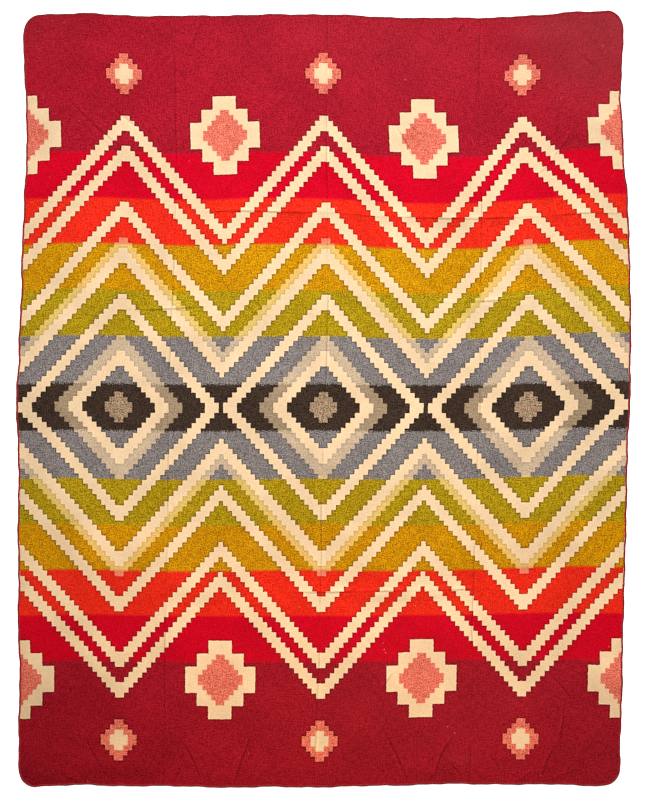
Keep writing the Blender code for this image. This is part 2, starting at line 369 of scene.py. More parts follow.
# Colour bands, the same both ways from the middle: how far each reaches, and its yarn
BandRow = namedtuple("BandRow", "reach yarn")
COLOUR_BANDS = table(BandRow, [
    (BLACK_REACH, yarn((80, 62, 51), (22, 13, 8))),
    (SLATE_REACH, yarn((162, 152, 147), (66, 57, 58))),
    (0.3570, yarn((210, 175, 27), (96, 72, 0))),
    (MUSTARD_REACH, yarn((238, 174, 12), (132, 68, 0))),
    (0.6430, yarn((248, 60, 36), (202, 0, 0))),
    (0.7850, yarn((227, 7, 46), (172, 0, 8))),
    (1.2500, yarn((193, 33, 55), (118, 0, 6))),
])
BAND_SPAN = COLOUR_BANDS[-1].reach

# Tones of the figures: the step each starts at, the step where it ends, its yarn and how much of it
# covers the ground, which shows between them
ToneRow = namedtuple("ToneRow", "first end yarn share")
LOZENGE_TONES = table(ToneRow, [
    (0, 3, TAUPE, 1.0),
    (8, 11, CREAM, 1.0),
    (11, 14, CREAM, HALF_TONE),
    (19, 22, CREAM, 1.0),
    (28, 31, CREAM, 1.0),
    (31, 33, CREAM, HALF_TONE),
    (37, 40, CREAM, 1.0),
    (48, 51, CREAM, 1.0),
    (54, 57, CREAM, 1.0),
])
CROSS_TONES = table(ToneRow, [(0, 3, CREAM, 1.0)])
CROSS_CORE_TONES = table(ToneRow, [(0, 5, CORAL, 1.0)])
SEED_TONES = table(ToneRow, [(0, 2, CREAM, 1.0), (2, 4, CORAL, 1.0)])


def eased(share):
    """0 to 1 with a level start and end, and held there beyond them."""
    held = np.clip(share, 0, 1)
    return held * held * (3 - 2 * held)


def outward_at(rows, along):
    """How far out a side lies at places along it, eased from row to row."""
    stops = np.array([row.along for row in rows])
    outs = np.array([row.outward for row in rows])
    before = np.clip(np.searchsorted(stops, along) - 1, 0, len(rows) - 2)
    share = (along - stops[before]) / (stops[before + 1] - stops[before])
    return outs[before] + (outs[before + 1] - outs[before]) * eased(share)


def waves(rows, along):
    """The sum of some waves at places along them."""
    return sum(row.height * np.sin(math.tau * along / row.wavelength + row.phase) for row in rows)


def swayed(x, y):
    """How far the cloth's grain is pushed lengthwise at places on it."""
    shift = np.zeros_like(x)
    for row in SWAYS:
        share_x = 1 - np.abs(x - row.x) / row.reach_x
        share_y = 1 - np.abs(y - row.y) / row.reach_y
        shift = shift + row.shift * eased(share_x) * eased(share_y)
    return shift


def side_shifts(x, y):
    """How far the bowed sides take places on the blanket, both ways."""
    right_share = x / WIDTH + 0.5
    top_share = y / LENGTH + 0.5
    shift_x = outward_at(RIGHT_SIDE, y) * right_share - outward_at(LEFT_SIDE, y) * (1 - right_share)
    shift_y = outward_at(TOP_SIDE, x) * top_share - outward_at(BOTTOM_SIDE, x) * (1 - top_share)
    return shift_x, shift_y


def bowed(x, y):
    """Places on the blanket, moved as its bowed and uneven sides take them."""
    shift_x, shift_y = side_shifts(x, y)
    near_x = eased((np.abs(x) - WIDTH / 2) / OUTLINE_WAVE_DEPTH + 1)
    near_y = eased((np.abs(y) - LENGTH / 2) / OUTLINE_WAVE_DEPTH + 1)
    shift_x = shift_x + np.sign(x) * near_x * waves(OUTLINE_WAVES, y + np.sign(x))
    shift_y = shift_y + np.sign(y) * near_y * waves(OUTLINE_WAVES, x + 0.5 * np.sign(y))
    return x + shift_x, y + shift_y + swayed(x, y)


def fold_frame(fold, x, y):
    """Where places on the blanket lie on a ridge: how far to the side of its crest, and their share
    of the way from its middle to its end."""
    heading = math.radians(fold.heading)
    along = (x - fold.x) * math.cos(heading) + (y - fold.y) * math.sin(heading)
    across = (y - fold.y) * math.cos(heading) - (x - fold.x) * math.sin(heading)
    end_share = np.clip(np.abs(along) / (fold.length / 2), 0, 1)
    return across - fold.bow * np.cos(math.pi / 2 * end_share), end_share


def fold_lift(fold, x, y):
    """Height of one soft ridge over places on the blanket."""
    across, end_share = fold_frame(fold, x, y)
    sides = 1 - eased(np.abs(across) / fold.half_width)
    return fold.height * sides * (1 - eased(end_share) ** 2)


def swell_lift(x, y):
    """Height of the slow unevenness, which is nowhere under the surface."""
    rise = np.zeros_like(x)
    for row in SWELLS:
        heading = math.radians(row.heading)
        rise = rise + waves([row], x * math.cos(heading) + y * math.sin(heading))
    return (rise + np.sqrt(rise * rise + SWELL_SOFTNESS ** 2)) / 2


def lift(x, y):
    """Height of the cloth's underside over the surface, at places on the blanket."""
    ridges = LENGTHWISE_FOLDS + CROSSWISE_FOLDS + EDGE_RIPPLES
    raised = np.max([fold_lift(fold, x, y) for fold in ridges], axis=0)
    wrinkled = np.max([fold_lift(fold, x, y) for fold in WRINKLES], axis=0)
    return raised + wrinkled + swell_lift(x, y)


def most_marked(marks):
    """Of some creases, each given as its offsets and strengths, those of the one that marks each
    place the most. A strength has faded before its crease gives way to another."""
    offsets = np.array([offset for offset, strength in marks])
    strengths = np.array([strength for offset, strength in marks])
    faded = strengths * (1 - eased(np.abs(offsets) / MARK_REACH - 1))
    chosen = np.argmax(faded, axis=0)[None]
    return np.take_along_axis(offsets, chosen, 0)[0], np.take_along_axis(faded, chosen, 0)[0]


def crease_mark(row, across, along):
    """How far places are from a storage crease, which wanders a little, and how clear it is."""
    straight = row.place + along * row.lean + row.bow * np.cos(along * 1.3)
    slow = np.sin(along * 7.1 + row.place * 31.0)
    quick = np.sin(along * 23.0 + row.place * 57.0)
    starting = eased((along - row.start) / CREASE_FADE)
    ending = eased((row.end - along) / CREASE_FADE)
    clarity_wave = np.sin(along * 11.0 + row.place * 83.0) + 0.8 * np.sin(along * 29.0 + row.place * 19.0)
    clear = 0.25 + 0.75 * eased((clarity_wave + 0.9) / 1.5)
    offset = across - straight - CREASE_SLOW_WANDER * slow - CREASE_QUICK_WANDER * quick
    return offset, starting * ending * clear


def wrinkle_mark(row, x, y):
    """How far places are from a wrinkle's crest, and how clear its thin crease is."""
    across, end_share = fold_frame(row, x, y)
    return across, row.line * (1 - eased(end_share) ** 2)


def crease_marks(x, y):
    """The offsets and strengths of the lengthwise creases, crosswise creases and wrinkles."""
    kinds = [
        [crease_mark(row, x, y) for row in LENGTHWISE_CREASES],
        [crease_mark(row, y, x) for row in CROSSWISE_CREASES],
        [wrinkle_mark(row, x, y) for row in WRINKLES],
    ]
    picked = [most_marked(marks) for marks in kinds]
    offsets, strengths = (np.stack(column, axis=-1) for column in zip(*picked))
    return offsets / CREASE_WIDTHS, strengths * CREASE_STRENGTHS


def painted_light_marks(x, y):
    """How much lighter, greyer and warmer the painted light and shade makes places on the cloth."""
    marks = np.zeros((len(x), 3))
    for row in PAINTED_LIGHT_PATCHES:
        distance = np.hypot((x - row.x) / row.reach_x, (y - row.y) / row.reach_y)
        share = 1 - eased(distance)
        marks += share[:, None] * (row.tone, row.grey, row.warm)
    return marks


def outline_at(distance, inset):
    """Places at some distances round the straight-sided outline, anticlockwise from the left end
    of the bottom side, and at some insets from it."""
    corners = np.array([(-1, -1), (1, -1), (1, 1), (-1, 1), (-1, -1)]) * (REACH_X, REACH_Y)
    arc = CORNER_RADIUS * math.pi / 2
    legs = np.array([2 * REACH_X, arc, 2 * REACH_Y, arc] * 2)
    ends = np.cumsum(legs)
    distance = np.mod(distance, ends[-1])
    leg = np.minimum(np.searchsorted(ends, distance, side="right"), len(legs) - 1)
    share = (distance - ends[leg] + legs[leg]) / legs[leg]
    on_arc = leg % 2 == 1
    share_along = np.where(on_arc, 1.0, share)[..., None]
    pivot = corners[leg // 2] * (1 - share_along) + corners[leg // 2 + 1] * share_along
    facing = math.pi / 2 * (leg // 2 - 1 + np.where(on_arc, share, 0.0))
    radius = CORNER_RADIUS - inset
    return pivot[..., 0] + radius * np.cos(facing), pivot[..., 1] + radius * np.sin(facing)


OUTLINE_LENGTH = 4 * REACH_X + 4 * REACH_Y + math.tau * CORNER_RADIUS
OUTLINE_SAMPLES = 4000


def middle_of_outline():
    """The middle of the bowed outline's box as the solids are centred, without the fine waves."""
    places = np.array(outline_at(np.linspace(0, OUTLINE_LENGTH, OUTLINE_SAMPLES), 0.0))
    moved = places + side_shifts(*places)
    return (moved.min(axis=1) + moved.max(axis=1)) / 2


MIDDLE = middle_of_outline()


def laid(x, y, height):
    """Points in the frame for places on the blanket, at heights over the surface."""
    bowed_x, bowed_y = bowed(x, y)
    return np.stack([bowed_x - MIDDLE[0], bowed_y - MIDDLE[1], height], axis=-1)


def grid_lines(reach, folds, axis):
    """Places of the grid's lines from -reach to reach along an axis, "x" or "y", closer together
    beside the folds."""
    feet = sorted((getattr(f, axis) - f.half_width, getattr(f, axis) + f.half_width) for f in folds)
    stops = [-reach]
    cells = []
    for start, end in feet:
        start = max(start, stops[-1])
        cells += [CELL, FOLD_CELL]
        stops += [start, end]
    stops.append(reach)
    cells.append(CELL)
    lines = stops[:1]
    for start, end, cell in zip(stops, stops[1:], cells):
        count = math.ceil((end - start) / cell - 0.001)
        lines += [start + (end - start) * step / count for step in range(1, count + 1)]
    return lines


COLUMNS = grid_lines(REACH_X, LENGTHWISE_FOLDS, "x")
ROWS = grid_lines(REACH_Y, CROSSWISE_FOLDS, "y")


def border_outline(inset):
    """The loop that lies inset from the straight-sided outline, anticlockwise from the bottom left
    corner, with a round arc at each corner and a point on each grid line."""
    radius = CORNER_RADIUS - inset
    sides = [
        [(x, -REACH_Y - radius) for x in COLUMNS[1:-1]],
        [(REACH_X + radius, y) for y in ROWS[1:-1]],
        [(x, REACH_Y + radius) for x in COLUMNS[-2:0:-1]],
        [(-REACH_X - radius, y) for y in ROWS[-2:0:-1]],
    ]
    corners = [(-REACH_X, -REACH_Y), (REACH_X, -REACH_Y), (REACH_X, REACH_Y), (-REACH_X, REACH_Y)]
    points = []
    for quarter, (middle_x, middle_y) in enumerate(corners):
        for step in range(ARC_STEPS + 1):
            angle = math.pi + math.pi / 2 * (quarter + step / ARC_STEPS)
            points.append((middle_x + radius * math.cos(angle), middle_y + radius * math.sin(angle)))
        points += sides[quarter]
    return np.array(points)


def numbered_loops(count, length):
    """Loops of point numbers, one after another."""
    return np.arange(count * length).reshape(count, length).tolist()


def strip_faces(outer, inner):
    """Faces between two closed loops of point numbers. Where the inner one stands still, they are
    triangles."""
    faces = []
    for k in range(len(outer)):
        following = (k + 1) % len(outer)
        corners = (outer[k], outer[following], inner[following], inner[k])
        faces.append(tuple(dict.fromkeys(corners)))
    return faces


def new_piece(name, points, faces, material, attributes):
    """A named object of a closed smooth mesh, with a place on the cloth at each of its points."""
    data = bpy.data.meshes.new(name)
    data.from_pydata(points.tolist(), [], faces)
    data.shade_smooth()
    for attribute_name, values in attributes.items():
        attribute = data.attributes.new(attribute_name, "FLOAT_VECTOR", "POINT")
        attribute.data.foreach_set("vector", values.astype(np.float32).ravel())
    data.materials.append(material)
    made = bpy.data.objects.new(name, data)
    bpy.context.scene.collection.objects.link(made)
    return made


def add_bake_map(piece, places):
    """A map of the piece's points over its own box, seen from above, for its baked colours."""
    data = piece.data
    low = places.min(axis=0)
    span = places.max(axis=0) - low
    corner_points = np.empty(len(data.loops), np.int32)
    data.loops.foreach_get("vertex_index", corner_points)
    layer = data.uv_layers.new(name="OFBake")
    layer.uv.foreach_set("vector", ((places - low) / span)[corner_points].astype(np.float32).ravel())


def border_height(inset, at_edge, inside):
    """Height of a face of the cloth in the flat blanket, from its pinched border to its inside."""
    share = eased((inset - BORDER_FREE) / (BORDER_FULL - BORDER_FREE))
    return at_edge + (inside - at_edge) * share


def cloth_side(at_edge, inside):
    """One face of the cloth: its places, its heights, its faces as drawn from above and the
    numbers of its outermost loop."""
    rim_lift = lift(*border_outline(0.0).T)
    places = []
    heights = []
    for inset in BORDER_INSETS:
        loop = border_outline(inset)
        lifted = rim_lift if inset <= BORDER_FREE else lift(*loop.T)
        places.append(loop)
        heights.append(border_height(inset, at_edge, inside) + lifted)
    crossings = np.reshape(np.meshgrid(COLUMNS, ROWS), (2, -1))
    places.append(crossings.T)
    heights.append(inside + lift(*crossings))
    loops = numbered_loops(len(BORDER_INSETS), len(rim_lift))
    grid = loops[-1][-1] + 1 + np.array(numbered_loops(len(ROWS), len(COLUMNS)))
    sides = [grid[0], grid[:, -1], grid[-1][::-1], grid[::-1, 0]]
    rim = []
    for side in sides:
        rim += [int(side[0])] * (ARC_STEPS + 1) + side[1:-1].tolist()
    faces = []
    for outer, inner in zip(loops, loops[1:] + [rim]):
        faces += strip_faces(outer, inner)
    quads = np.stack([grid[:-1, :-1], grid[:-1, 1:], grid[1:, 1:], grid[1:, :-1]], axis=-1)
    faces += [tuple(quad) for quad in quads.reshape(-1, 4).tolist()]
    return np.concatenate(places), np.concatenate(heights), faces, loops[0]


def build_cloth(material):
    """The woven cloth: one closed sheet with its folds, wrinkles and uneven outline."""
    top_places, top_heights, top_faces, top_rim = cloth_side(PINCHED_HIGH, CLOTH_THICKNESS)
    low_places, low_heights, low_faces, low_rim = cloth_side(PINCHED_LOW, 0.0)
    offset = len(top_places)
    low_faces = [tuple(offset + k for k in reversed(face)) for face in low_faces]
    low_rim = [offset + k for k in low_rim]
    faces = top_faces + low_faces + strip_faces(low_rim, top_rim)
    places = np.concatenate([top_places, low_places])
    heights = np.concatenate([top_heights, low_heights])
    points = laid(*places.T, heights)
    offsets, strengths = crease_marks(*places.T)
    piece = new_piece("woven_cloth", points, faces, material, {
        "flat_place": np.column_stack([places, np.zeros(len(places))]),
        "crease_offset": offsets,
        "crease_strength": strengths,
        "painted_light": painted_light_marks(*places.T),
    })
    add_bake_map(piece, points[:, :2])
    return piece


def build_edging_core(material):
    """The core of the edging: a slotted section carried round the outline under the thread."""
    rim_lift = lift(*border_outline(0.0).T)
    points = []
    for inset, height in CORE_SECTION:
        points.append(laid(*border_outline(inset).T, height + rim_lift))
    loops = numbered_loops(len(CORE_SECTION), len(rim_lift))
    faces = []
    for loop, following in zip(loops, loops[1:] + loops[:1]):
        faces += [tuple(reversed(face)) for face in strip_faces(following, loop)]
    return new_piece("edging_core", np.concatenate(points), faces, material, {})


def thread_template(path, half_width, half_depth, sides):
    """A short flattened thread along a path of (inset, height, along): its points in the same
    three measures, how far each lies along the thread, and its faces."""
    path = np.array(path)
    steps = np.gradient(path, axis=0)
    lengths = np.concatenate([[0], np.cumsum(np.linalg.norm(np.diff(path, axis=0), axis=1))])
    points = []
    runs = []
    last = len(path) - 1
    for k, (centre, step) in enumerate(zip(path, steps)):
        way = step / np.linalg.norm(step)
        side = np.cross(way, (0.0, 0.0, 1.0)) if abs(way[2]) < 0.9 else np.array((0.0, 1.0, 0.0))
        side /= np.linalg.norm(side)
        level = np.cross(side, way)
        full = THREAD_END_SHARE if k in (0, last) else 1.0
        for turn in range(sides):
            angle = math.tau * turn / sides
            points.append(centre + full * half_width * math.cos(angle) * level
                          + full * half_depth * math.sin(angle) * side)
            runs.append(lengths[k])
    loops = numbered_loops(len(path), sides)
    faces = []
    for loop, following in zip(loops, loops[1:]):
        faces += strip_faces(loop, following)
    faces += [tuple(reversed(loops[0])), tuple(loops[-1])]
    return np.array(points), np.array(runs), faces


def build_stitching(name, template, material, spread):
    """A row of threads round the whole outline, each a little unlike the next. Its places hold
    the thread's number and how far along it a point lies."""
    points, runs, faces = template
    count = round(OUTLINE_LENGTH / STITCH_PITCH)
    chance = np.random.default_rng(STITCH_SEED)
    start = (np.arange(count) + 0.5) * OUTLINE_LENGTH / count
    start = start + spread * chance.uniform(-1, 1, count) * STITCH_PITCH
    reach = 1 + spread * chance.uniform(-1, 1, count)
    inset = points[None, :, 0] * reach[:, None]
    distance = start[:, None] + points[None, :, 2]
    height = points[None, :, 1] + lift(*outline_at(distance, 0.0))
    placed = laid(*outline_at(distance, inset), height).reshape(-1, 3)
    size = len(points)
    all_faces = [tuple(k * size + corner for corner in face) for k in range(count) for face in faces]
    number = np.repeat(np.arange(count), size)
    thread_places = np.column_stack([number, np.tile(runs, count), np.zeros(count * size)])
    return new_piece(name, placed, all_faces, material, {"thread_place": thread_places})


def build_edging_stitches(material):
    """The overlock thread that wraps the border, slanted from stitch to stitch."""
    slants = np.linspace(0.5, -0.5, len(STITCH_PATH)) * STITCH_SLANT
    path = [(inset, height, slant) for (inset, height), slant in zip(STITCH_PATH, slants)]
    template = thread_template(path, STITCH_HALF_WIDTH, STITCH_HALF_DEPTH, STITCH_SIDES)
    return build_stitching("edging_stitches", template, material, spread=0.07)


def build_needle_thread(material):
    """The needle thread: a line of short stitches along the inner side of the edging."""
    reach = 0.46 * STITCH_PITCH
    path = [
        (NEEDLE_INSET, NEEDLE_HEIGHT - NEEDLE_DIP, -reach),
        (NEEDLE_INSET, NEEDLE_HEIGHT, -0.4 * reach),
        (NEEDLE_INSET, NEEDLE_HEIGHT, 0.4 * reach),
        (NEEDLE_INSET, NEEDLE_HEIGHT - NEEDLE_DIP, reach),
    ]
    template = thread_template(path, NEEDLE_HALF_WIDTH, NEEDLE_HALF_WIDTH, 4)
    return build_stitching("edging_needle_thread", template, material, spread=0.04)


class Wire:
    """A number or colour on its way between nodes, so that a sum of them reads as arithmetic."""

    def __init__(self, tree, socket):
        self.tree = tree
        self.socket = socket

    def worked(self, operation, *others):
        node = self.tree.nodes.new("ShaderNodeMath")
        node.operation = operation
        for socket, value in zip(node.inputs, (self, *others)):
            feed(socket, value)
        return Wire(self.tree, node.outputs[0])

    # to_and_fro, given half a repeat, is the distance to the nearest multiple of the repeat
    __add__ = partialmethod(worked, "ADD")
    __sub__ = partialmethod(worked, "SUBTRACT")
    __mul__ = partialmethod(worked, "MULTIPLY")
    __truediv__ = partialmethod(worked, "DIVIDE")
    __abs__ = partialmethod(worked, "ABSOLUTE")
    floor = partialmethod(worked, "FLOOR")
    sine = partialmethod(worked, "SINE")
    most = partialmethod(worked, "MAXIMUM")
    least = partialmethod(worked, "MINIMUM")
    to_and_fro = partialmethod(worked, "PINGPONG")


def feed(socket, value):
    """Sets a node's socket to a number or colour, or links a wire to it."""
    if isinstance(value, Wire):
        value.tree.links.new(value.socket, socket)
    elif isinstance(value, tuple) and len(value) == 3 and socket.type == "RGBA":
        socket.default_value = (*value, 1.0)
    else:
        socket.default_value = value


def feed_all(node, values):
    """Feeds a node's sockets by name, and returns the node."""
    for name, value in values.items():
        feed(node.inputs[name], value)
    return node


def mixed(share, base, over, way="MIX"):
    """A colour laid over another by a share, or multiplied into it."""
    tree = share.tree
    node = tree.nodes.new("ShaderNodeMix")
    node.data_type = "RGBA"
    node.blend_type = way
    colours = [socket for socket in node.inputs if socket.type == "RGBA"]
    feed(node.inputs[0], share)
    feed(colours[0], base)
    feed(colours[1], over)
    return Wire(tree, next(socket for socket in node.outputs if socket.type == "RGBA"))


def shaded(colour, factor):
    """A colour made lighter or darker by a factor."""
    tree = factor.tree
    node = tree.nodes.new("ShaderNodeVectorMath")
    node.operation = "SCALE"
    feed_all(node, {"Vector": colour, "Scale": factor})
    return Wire(tree, node.outputs["Vector"])


def ranged(value, low, high, to_low=0.0, to_high=1.0):
    """A value's place between two ends, smoothly stepped and held there."""
    node = value.tree.nodes.new("ShaderNodeMapRange")
    node.interpolation_type = "SMOOTHSTEP"
    ends = {"From Min": low, "From Max": high, "To Min": to_low, "To Max": to_high}
    feed_all(node, {"Value": value, **ends})
    return Wire(value.tree, node.outputs["Result"])


def place_of(across, along):
    """A vector of two measures, for a texture to read."""
    node = feed_all(across.tree.nodes.new("ShaderNodeCombineXYZ"), {"X": across, "Y": along})
    return Wire(across.tree, node.outputs["Vector"])


def noise(place, scale, detail, roughness=0.5, output="Fac"):
    """Soft noise from 0 to 1 over a place."""
    node = place.tree.nodes.new("ShaderNodeTexNoise")
    feed_all(node, {"Vector": place, "Scale": scale, "Detail": detail, "Roughness": roughness})
    return Wire(place.tree, node.outputs[output])


def noises(place, scale, detail):
    """Three unlike soft noises from 0 to 1 over a place."""
    parts = place.tree.nodes.new("ShaderNodeSeparateColor")
    feed(parts.inputs["Color"], noise(place, scale, detail, output="Color"))
    return [Wire(place.tree, socket) for socket in parts.outputs]


def white_noise(place):
    """A value from 0 to 1 of its own for each place."""
    node = feed_all(place.tree.nodes.new("ShaderNodeTexWhiteNoise"), {"Vector": place})
    return Wire(place.tree, node.outputs["Value"])


def stepped(value, span, rows):
    """The colour and share of the row that a value falls in. rows holds (first, colour, share)."""
    node = value.tree.nodes.new("ShaderNodeValToRGB")
    ramp = node.color_ramp
    ramp.interpolation = "CONSTANT"
    while len(ramp.elements) < len(rows):
        ramp.elements.new(0.5)
    for element, (first, colour, share) in zip(ramp.elements, rows):
        element.position = first / span
        element.color = (*colour, share)
    feed(node.inputs["Fac"], value / span)
    return Wire(value.tree, node.outputs["Color"]), Wire(value.tree, node.outputs["Alpha"])


def new_group(name, inputs, values, colours=()):
    """A shader node group with named number inputs, and values and colours that it puts out.
    Returns the group, its inputs as wires and a function that sets an output."""
    group = bpy.data.node_groups.new(name, "ShaderNodeTree")
    for label in inputs:
        group.interface.new_socket(label, in_out="INPUT", socket_type="NodeSocketFloat")
    for label in values:
        group.interface.new_socket(label, in_out="OUTPUT", socket_type="NodeSocketFloat")
    for label in colours:
        group.interface.new_socket(label, in_out="OUTPUT", socket_type="NodeSocketColor")
    entry = group.nodes.new("NodeGroupInput")
    leaving = group.nodes.new("NodeGroupOutput")
    wires = [Wire(group, entry.outputs[label]) for label in inputs]
    return group, wires, lambda label, value: feed(leaving.inputs[label], value)


def use_group(tree, group, values):
    """Places a group in a material with its own values, and returns its outputs by name."""
    node = tree.nodes.new("ShaderNodeGroup")
    node.node_tree = group
    return {socket.name: Wire(tree, socket) for socket in feed_all(node, values).outputs}


def steps_from(across, step_across, along, step_along):
    """How many steps away a point is from a figure's middle, counted both ways."""
    return (across / step_across).floor() + (along / step_along).floor() + 0.5


def tone_ramp(steps, tones, part):
    """The colour or fleck of a figure's tone at a count of steps, and its share."""
    rows = []
    for tone in tones:
        if rows and rows[-1][0] == tone.first:
            rows.pop()
        colour = getattr(tone.yarn, part)
        rows += [(tone.first, colour, tone.share), (tone.end, colour, 0.0)]
    return stepped(steps, RAMP_STEPS, rows)


def make_figures_group():
    """The stepped design in cream and its companions: which yarn lies on top, and its share."""
    group, (across, along), give = new_group(
        "stepped_figures", ["Across", "Along"], ["Share"], ["Colour", "Fleck"]
    )
    from_lozenge = across.to_and_fro(REPEAT / 2)
    from_valley = (across + REPEAT / 2).to_and_fro(REPEAT / 2)
    from_middle = abs(along)
    from_cross = abs(from_middle - CROSS_PLACE)
    from_seed = abs(from_middle - SEED_PLACE)
    layers = [
        (steps_from(from_lozenge, STEP_ACROSS, from_middle, STEP_ALONG), LOZENGE_TONES),
        (steps_from(from_valley, CROSS_STEP_ACROSS, from_cross, CROSS_STEP_ALONG), CROSS_TONES),
        (steps_from(from_valley, STEP_ACROSS, from_cross, STEP_ALONG), CROSS_CORE_TONES),
        (steps_from(from_lozenge, STEP_ACROSS, from_seed, STEP_ALONG), SEED_TONES),
    ]
    colour, share = tone_ramp(*layers[0], "colour")
    fleck, _ = tone_ramp(*layers[0], "fleck")
    for steps, tones in layers[1:]:
        over, over_share = tone_ramp(steps, tones, "colour")
        over_fleck, _ = tone_ramp(steps, tones, "fleck")
        colour = mixed(over_share, colour, over)
        fleck = mixed(over_share, fleck, over_fleck)
        share = share.most(over_share)
    give("Colour", colour)
    give("Fleck", fleck)
    give("Share", share)
    return group


def make_crease_shade_group():
    """A crease pressed into the cloth: a thin line of painted shade, which the bump also uses as its
    groove, and a painted highlight on the flank beside it.
    """
    group, (offset, strength), give = new_group(
        "crease_shade_and_groove", ["Offset", "Strength"], ["Line", "Flank"]
    )
    give("Line", ranged(abs(offset), 0.0006, 0.0036, 1.0, 0.0) * strength)
    give("Flank", ranged(offset, 0.002, 0.006) * ranged(offset, 0.006, 0.014, 1.0, 0.0) * strength)
    return group


def make_weave_group():
    """Woven threads: how high each lies, a lightness of its own for each short float, and the fine
    lines of the weft. Coarseness is the width of a thread in metres."""
    group, (across, along, coarseness), give = new_group(
        "woven_threads", ["Across", "Along", "Coarseness"], ["Height", "Float Tone", "Weft Line"]
    )
    x = across / coarseness
    y = along / coarseness
    weft = (y * math.pi).sine()
    give("Height", (x * math.pi).sine() * weft * 0.5 + 0.5)
    give("Float Tone", white_noise(place_of((x / 1.6).floor(), y.floor())))
    give("Weft Line", weft * 0.5 + 0.5)
    return group


def make_twist_group():
    """Plied thread: the twist along each stitch, and a lightness of its own for each stitch."""
    group, (number, run), give = new_group("plied_thread", ["Number", "Run"], ["Twist", "Each"])
    each = white_noise(place_of(number, number * 0.37))
    give("Twist", (run * 4200.0 + each * 6.0).sine() * 0.5 + 0.5)
    give("Each", each)
    return group


def make_wool_group():
    """Heathered wool: specks where the second fibre shows, fine streaks along the threads both
    ways, slow clouds of colour, and pale lint."""
    group, (across, along), give = new_group(
        "heathered_wool", ["Across", "Along"], ["Specks", "Streaks", "Clouds", "Lint"]
    )
    place = place_of(across, along)
    give("Specks", ranged(noise(place, 300.0, 0.0), 0.41, 0.59))
    weft = noise(place_of(across * 44.0, along * 340.0), 1.0, 0.0)
    warp = noise(place_of(across * 340.0, along * 44.0), 1.0, 0.0)
    give("Streaks", ranged(weft + warp, 0.78, 1.22))
    give("Clouds", ranged(noise(place, 6.0, 3.0, 0.6), 0.3, 0.7, -1.0, 1.0))
    spots = group.nodes.new("ShaderNodeTexVoronoi")
    feed_all(spots, {"Vector": place, "Scale": 26.0, "Randomness": 1.0})
    distance = Wire(group, spots.outputs["Distance"])
    picked = noise(place, 13.0, 0.0)
    give("Lint", ranged(distance, 0.02, 0.06, 1.0, 0.0) * ranged(picked, 0.55, 0.62))
    return group


def new_material(name):
    """A material and its Principled BSDF."""
    material = bpy.data.materials.new(name)
    material.use_nodes = True
    return material, material.node_tree, material.node_tree.nodes["Principled BSDF"]


def attribute_parts(tree, name):
    """The measures of a vector that the mesh holds at each point."""
    node = tree.nodes.new("ShaderNodeAttribute")
    node.attribute_name = name
    parts = tree.nodes.new("ShaderNodeSeparateXYZ")
    tree.links.new(node.outputs["Vector"], parts.inputs["Vector"])
    return [Wire(tree, socket) for socket in parts.outputs]


def set_bump(tree, shader, height, strength):
    """Turns a height in metres into the shader's normal."""
    node = tree.nodes.new("ShaderNodeBump")
    feed_all(node, {"Strength": strength, "Distance": 1.0, "Height": height})
    tree.links.new(node.outputs["Normal"], shader.inputs["Normal"])


def crease_shades_and_grooves(tree, group, wobble):
    """The painted shade lines and painted highlight flanks of every crease and wrinkle that marks
    the mesh.
    """
    offsets = attribute_parts(tree, "crease_offset")
    strengths = attribute_parts(tree, "crease_strength")
    kinds = []
    for offset, strength in zip(offsets, strengths):
        kinds.append(use_group(tree, group, {"Offset": offset + wobble, "Strength": strength}))
    return [reduce(Wire.most, [kind[part] for kind in kinds]) for part in ("Line", "Flank")]


def band_start(reach, start, before, after):
    """One value before a distance from the design's middle and another one after it."""
    return ranged(reach, start - BAND_SOFTNESS, start + BAND_SOFTNESS, before, after)


def band_ramp(reach, part):
    """The colour or fleck of the band at a distance from the middle."""
    starts = [0.0] + [band.reach for band in COLOUR_BANDS[:-1]]
    rows = [(start, getattr(band.yarn, part), 1.0) for start, band in zip(starts, COLOUR_BANDS)]
    return stepped(reach, BAND_SPAN, rows)[0]


